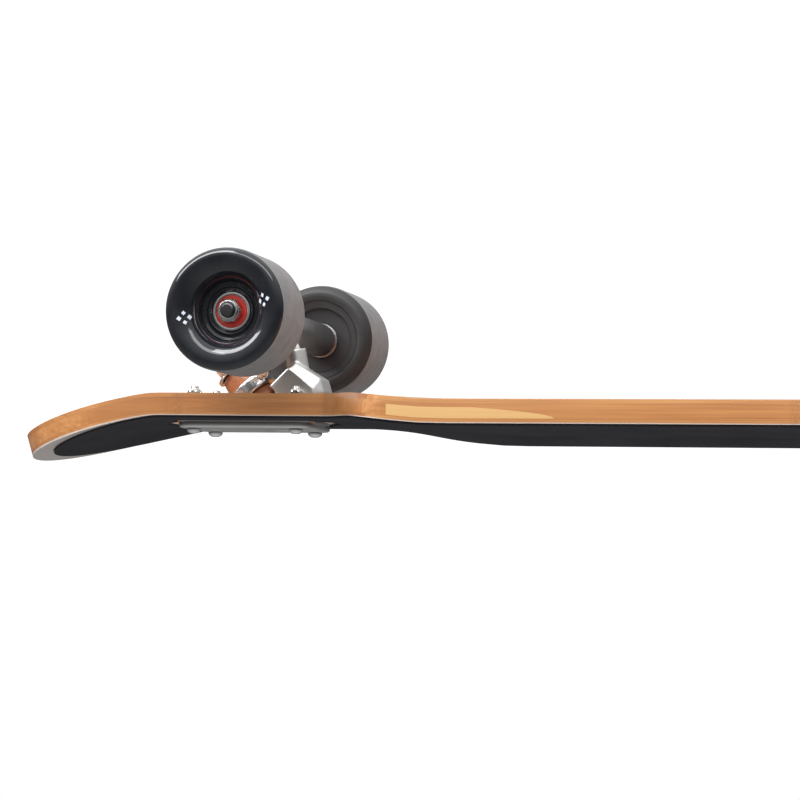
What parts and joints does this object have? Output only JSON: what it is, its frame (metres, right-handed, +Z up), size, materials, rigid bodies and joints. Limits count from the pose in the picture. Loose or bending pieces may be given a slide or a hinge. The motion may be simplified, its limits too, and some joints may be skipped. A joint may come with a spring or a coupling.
{
  "type": "electric skateboard",
  "caption": "Electric drop-through longboard: laminated bamboo deck with grip sheet, sprung steering trucks, urethane wheels, belt drive and battery box under the rear half.",
  "frame": {"origin": "on the floor, below the middle of the deck", "axes": "+X to the nose (the direction of travel), +Y to the rider's left, +Z up"},
  "size_m": [0.9934, 0.242, 0.1157],
  "materials": {
    "bamboo": "clear-lacquered laminated bamboo, golden orange, satin gloss",
    "grip": "black grit sheet, matte",
    "cast_aluminium": "cast and tumbled, satin",
    "polished_aluminium": "polished bright",
    "steel": "zinc-plated steel",
    "black_steel": "blackened steel",
    "wheel_urethane": "cast urethane, glossy face and worn matte tread",
    "bushing_urethane": "amber urethane",
    "cup_urethane": "dark urethane",
    "red_shield": "bearing with a red rubber shield and bright rings",
    "rubber": "black rubber",
    "dark_metal": "dark grey anodised aluminium",
    "anodised_plate": "black anodised plate",
    "enclosure_shell": "textured black moulding",
    "battery_wrap": "blue shrink wrap",
    "fitting_plastic": "moulded black plastic"
  },
  "bodies": {
    "board": {"deck": "bamboo", "grip_tape": "grip", "front_baseplate": "cast_aluminium", "front_pivot_cup": "cup_urethane", "front_kingpin": "steel", "front_kingpin_nut": "steel", "front_boardside_washer": "steel", "front_roadside_washer": "steel", "front_boardside_bushing": "bushing_urethane", "front_roadside_bushing": "bushing_urethane", "front_mounting_bolt_1": "steel", "front_mounting_bolt_2": "steel", "front_mounting_bolt_3": "steel", "front_mounting_bolt_4": "steel", "rear_baseplate": "cast_aluminium", "rear_pivot_cup": "cup_urethane", "rear_kingpin": "steel", "rear_kingpin_nut": "steel", "rear_boardside_washer": "steel", "rear_roadside_washer": "steel", "rear_boardside_bushing": "bushing_urethane", "rear_roadside_bushing": "bushing_urethane", "rear_mounting_bolt_1": "steel", "rear_mounting_bolt_2": "steel", "rear_mounting_bolt_3": "steel", "rear_mounting_bolt_4": "steel", "battery_enclosure": "enclosure_shell", "enclosure_seal": "rubber", "battery_pack": "battery_wrap", "motor_controller": "dark_metal", "charge_port": "fitting_plastic", "cable_gland": "rubber"},
    "front_truck": {"front_hanger": "polished_aluminium", "front_axle": "steel", "front_left_axle_nut": "steel", "front_right_axle_nut": "steel"},
    "rear_truck": {"rear_hanger": "polished_aluminium", "rear_axle": "steel", "rear_left_axle_nut": "steel", "rear_right_axle_nut": "steel", "motor_mount": "anodised_plate", "motor_base": "dark_metal", "drive_belt": "rubber"},
    "front_left_wheel": {"front_left_wheel": "wheel_urethane", "front_left_inner_bearing": "red_shield", "front_left_outer_bearing": "red_shield"},
    "front_right_wheel": {"front_right_wheel": "wheel_urethane", "front_right_inner_bearing": "red_shield", "front_right_outer_bearing": "red_shield"},
    "rear_left_wheel": {"rear_left_wheel": "wheel_urethane", "rear_left_inner_bearing": "red_shield", "rear_left_outer_bearing": "red_shield"},
    "rear_right_wheel": {"rear_right_wheel": "wheel_urethane", "rear_right_inner_bearing": "red_shield", "rear_right_outer_bearing": "red_shield", "wheel_pulley": "dark_metal"},
    "motor_rotor": {"motor_can": "black_steel", "motor_pulley": "dark_metal"},
    "power_button": {"power_button": "fitting_plastic"}
  },
  "joints": [
    {"name": "front_steer", "type": "hinge", "parent": "board", "child": "front_truck", "pos_m": [0.3318, 0, 0.0477], "axis": [0.7071, 0, 0.7071], "range_deg": [-12, 12], "stiffness_Nm_per_rad": 60, "deforming": ["front_boardside_bushing", "front_roadside_bushing"]},
    {"name": "rear_steer", "type": "hinge", "parent": "board", "child": "rear_truck", "pos_m": [-0.3318, 0, 0.0477], "axis": [-0.7071, 0, 0.7071], "range_deg": [-12, 12], "stiffness_Nm_per_rad": 60, "deforming": ["rear_boardside_bushing", "rear_roadside_bushing"]},
    {"name": "front_left_spin", "type": "hinge", "parent": "front_truck", "child": "front_left_wheel", "pos_m": [0.3375, 0.0965, 0.035], "axis": [0, 1, 0], "continuous": true},
    {"name": "front_right_spin", "type": "hinge", "parent": "front_truck", "child": "front_right_wheel", "pos_m": [0.3375, -0.0965, 0.035], "axis": [0, 1, 0], "continuous": true},
    {"name": "rear_left_spin", "type": "hinge", "parent": "rear_truck", "child": "rear_left_wheel", "pos_m": [-0.3375, 0.0965, 0.035], "axis": [0, 1, 0], "continuous": true},
    {"name": "rear_right_spin", "type": "hinge", "parent": "rear_truck", "child": "rear_right_wheel", "pos_m": [-0.3375, -0.0965, 0.035], "axis": [0, 1, 0], "continuous": true},
    {"name": "motor_spin", "type": "hinge", "parent": "rear_truck", "child": "motor_rotor", "pos_m": [-0.407, -0.035, 0.043], "axis": [0, 1, 0], "continuous": true},
    {"name": "power_press", "type": "slide", "parent": "board", "child": "power_button", "axis": [0, 1, 0], "range_m": [0, 0.0015], "stiffness_N_per_m": 600}
  ],
  "couplings": [
    {"joint": "motor_spin", "follows": "rear_right_spin", "ratio": 2.4}
  ]
}
